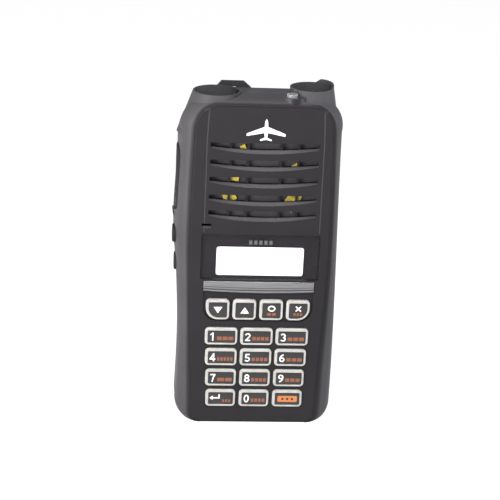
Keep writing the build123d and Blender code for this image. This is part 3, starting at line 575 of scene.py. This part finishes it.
def orange_bars(key, left_mm, middle_mm, wide_mm, tall_mm, count):
    """A row of bars: its left end and its middle are counted from the key's middle."""
    row = dashes(key.x + left_mm * MM, key.z + middle_mm * MM, wide_mm * MM, tall_mm * MM, count)
    key.mark("bars", row, INK_ORANGE)


def ring_key(key):
    """A ring over two bars."""
    ring = loop(key.x, key.z + SYMBOL_RISE, *RING_HALF)
    key.mark_lines("symbol", [(ring, True)], SYMBOL_LINE)
    orange_bars(key, -1.45, -1.25, 2.9, 0.95, 2)


def cross_key(key):
    """A cross over three bars."""
    left, right, middle = key.x - CROSS_HALF, key.x + CROSS_HALF, key.z + SYMBOL_RISE
    cross = [([(left, middle - rise), (right, middle + rise)], False) for rise in (-CROSS_HALF, CROSS_HALF)]
    key.mark_lines("symbol", cross, SYMBOL_LINE)
    orange_bars(key, -1.55, -1.2, 2.9, 0.95, 3)


def hook_key(key):
    """An arrow that comes down and turns left, with three bars beside it."""
    tip, neck, bend = (key.low[0] + inset for inset in HOOK_INSETS)
    low, top = (key.z + rise for rise in HOOK_RISES)
    key.mark_lines("hook", [([(bend, top), (bend, low), (neck, low)], False)], SYMBOL_LINE)
    key.mark("head", [[(tip, low), (neck, low - HEAD_HALF), (neck, low + HEAD_HALF)]], INK_WHITE)
    orange_bars(key, 0.5, -0.9, 2.7, 1.0, 3)


def pill_key(key):
    """An amber field with three dark dots."""
    key.mark("pill", [bar(key.x, key.z, *PILL_HALF, DOT_CORNER)], INK_AMBER)
    dots = [bar(key.x + place * DOT_STEP, key.z, DOT_HALF, DOT_HALF, DOT_CORNER) for place in (-1, 0, 1)]
    key.mark("dots", dots, PAD_BLACK, proud=2 * INK_THICK)


def keypad():
    """The pad and the printing of every key."""
    names = [name for name in nodes if name.startswith("key_") and name != "key_domes"]
    keys = {name: Key(name) for name in names}
    for key in keys.values():
        key_pad(key)
    arrow_key(keys["key_down"], -1)
    arrow_key(keys["key_up"], 1)
    ring_key(keys["key_memory"])
    cross_key(keys["key_clear"])
    hook_key(keys["key_enter"])
    pill_key(keys["key_function"])
    number_keys(keys)


# ---- printing on the panel ----
# The right half of an aeroplane seen from above, nose up: across in half spans, and along in lengths.
AIRCRAFT = [(0.0, 1.0), (0.07, 0.86), (0.09, 0.62), (1.0, 0.3), (1.0, 0.18), (0.1, 0.34), (0.06, 0.12),
            (0.3, 0.03), (0.3, -0.04), (0.0, 0.02)]
EMBLEM_Z = 102.2 * MM
EMBLEM_HALF_SPAN = 6.2 * MM
EMBLEM_LONG = 7.0 * MM
TICK_HALF = (0.5 * MM, 0.7 * MM)
TICK_CORNER = 0.15 * MM
TICK_STEP = 1.65 * MM
TICK_DROP = 2.55 * MM           # from the window's top to the ticks' middle


def panel_mark(name, shapes, face, ink):
    """Shapes printed on a face of the radio's front."""
    def build(form):
        for points in shapes:
            prism(form, points, face - INK_THICK, face + INK_THICK)
    add_mesh(name, build, ink, "radio")


def panel_print():
    """A plain emblem above the grille, and a row of grey ticks above the display."""
    right = [(u * EMBLEM_HALF_SPAN, EMBLEM_Z + (v - 0.5) * EMBLEM_LONG) for u, v in AIRCRAFT]
    left = [(-x, z) for x, z in reversed(right[1:-1])]
    panel_mark("panel_emblem", [right + left], PANEL_Y, INK_WHITE)
    low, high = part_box("window_lens")
    ticks = [bar(place * TICK_STEP, high[2] - TICK_DROP, *TICK_HALF, TICK_CORNER) for place in range(-2, 3)]
    panel_mark("window_ticks", ticks, low[1], INK_GREY)


# ---- camera, light and floor ----
CAMERA_PLACE = Vector((-48.6, -531.1, 240.0)) * MM
CAMERA_AZIMUTH = math.radians(5.0)      # how far round to the left of the front
CAMERA_ELEVATION = math.radians(19.0)
CAMERA_ROLL = math.radians(2.64)
CAMERA_LENS = 121.2             # focal length in mm, on Blender's default sensor
CAMERA_REACH = 20.0             # how far it sees, in metres


def place_camera():
    """From a little left of the front and a little above, rolled so that the object leans."""
    azimuth, elevation, roll = CAMERA_AZIMUTH, CAMERA_ELEVATION, CAMERA_ROLL
    forward = Vector((math.sin(azimuth) * math.cos(elevation), math.cos(azimuth) * math.cos(elevation),
                      -math.sin(elevation)))
    right = Vector((math.cos(azimuth), -math.sin(azimuth), 0.0))
    up = right.cross(forward)
    right, up = right * math.cos(roll) + up * math.sin(roll), up * math.cos(roll) - right * math.sin(roll)
    camera = bpy.data.objects.new("camera", bpy.data.cameras.new("camera"))
    bpy.context.scene.collection.objects.link(camera)
    turn = Matrix((right, up, -forward)).transposed().to_4x4()
    camera.matrix_world = Matrix.Translation(CAMERA_PLACE) @ turn
    camera.data.lens = CAMERA_LENS
    camera.data.clip_end = CAMERA_REACH
    bpy.context.scene.camera = camera


WHITE = (1.0, 1.0, 1.0)
COOL_WHITE = (0.86, 0.92, 1.0)
# Each light: its name, its place, where it aims, its width and height (metres), its watts, its colour.
LIGHTS = (
    ("left_soft", (-0.19, -0.15, 0.09), (0.0, 0.0, 0.09), (0.1, 0.05), 0.6, WHITE),
    ("right_soft", (0.45, -0.1, 0.2), (0.0, 0.0, 0.09), (0.25, 0.15), 1.0, COOL_WHITE),
    ("front_left", (-0.3, -0.55, 0.4), (0.0, 0.0, 0.06), (0.3, 0.3), 0.6, WHITE),
    ("front_high", (0.0, -0.13, 0.29), (0.0, -0.015, 0.09), (0.12, 0.06), 0.72, WHITE),
)
SKY_DARK = 0.4                  # the surround turns black where a direction's Z reaches this
FLOOR_REACH = 6.0               # in metres, to each side
FLOOR_GLOW = 0.95


def area_light(name, place, aim, size, power, colour):
    """A soft rectangular light that the camera doesn't see."""
    light = bpy.data.lights.new(name, "AREA")
    light.shape = "RECTANGLE"
    light.size, light.size_y = size
    light.energy = power
    light.color = colour
    lamp = bpy.data.objects.new(name, light)
    lamp.visible_camera = False
    lamp.location = place
    lamp.rotation_euler = (Vector(aim) - Vector(place)).to_track_quat("-Z", "Y").to_euler()
    bpy.context.scene.collection.objects.link(lamp)


def surround():
    """White all round the horizon, dimming to black overhead."""
    world = bpy.data.worlds.new("surround")
    world.use_nodes = True
    tree = world.node_tree
    background = tree.nodes["Background"]
    background.inputs["Color"].default_value = (*WHITE, 1.0)
    where = tree.nodes.new("ShaderNodeTexCoord")
    axes = tree.nodes.new("ShaderNodeSeparateXYZ")
    tree.links.new(where.outputs["Generated"], axes.inputs["Vector"])
    overhead = tree.nodes.new("ShaderNodeMapRange")
    overhead.inputs["From Max"].default_value = SKY_DARK
    overhead.inputs["To Min"].default_value = 1.0
    overhead.inputs["To Max"].default_value = 0.0
    tree.links.new(axes.outputs["Z"], overhead.inputs["Value"])
    tree.links.new(overhead.outputs["Result"], background.inputs["Strength"])
    bpy.context.scene.world = world
    bpy.context.scene.view_settings.view_transform = "Standard"


def pale_floor():
    """A wide floor that glows, so that it stays white under the soft light."""
    floor_mesh = bpy.data.meshes.new("floor")
    corners = [(x * FLOOR_REACH, y * FLOOR_REACH, 0) for x, y in ((-1, -1), (1, -1), (1, 1), (-1, 1))]
    floor_mesh.from_pydata(corners, [], [(0, 1, 2, 3)])
    floor = bpy.data.objects.new("floor", floor_mesh)
    finish, _, shader = material("floor_pale", (0.35, 0.35, 0.35), 0.9, specular=0.1)
    shader.inputs["Emission Color"].default_value = (*WHITE, 1.0)
    shader.inputs["Emission Strength"].default_value = FLOOR_GLOW
    floor_mesh.materials.append(finish)
    bpy.context.scene.collection.objects.link(floor)


def studio():
    """The surround, the floor, and soft lights at the sides and the front."""
    surround()
    pale_floor()
    for light in LIGHTS:
        area_light(*light)


dress_frame()
place_camera()
studio()
keypad()
panel_print()
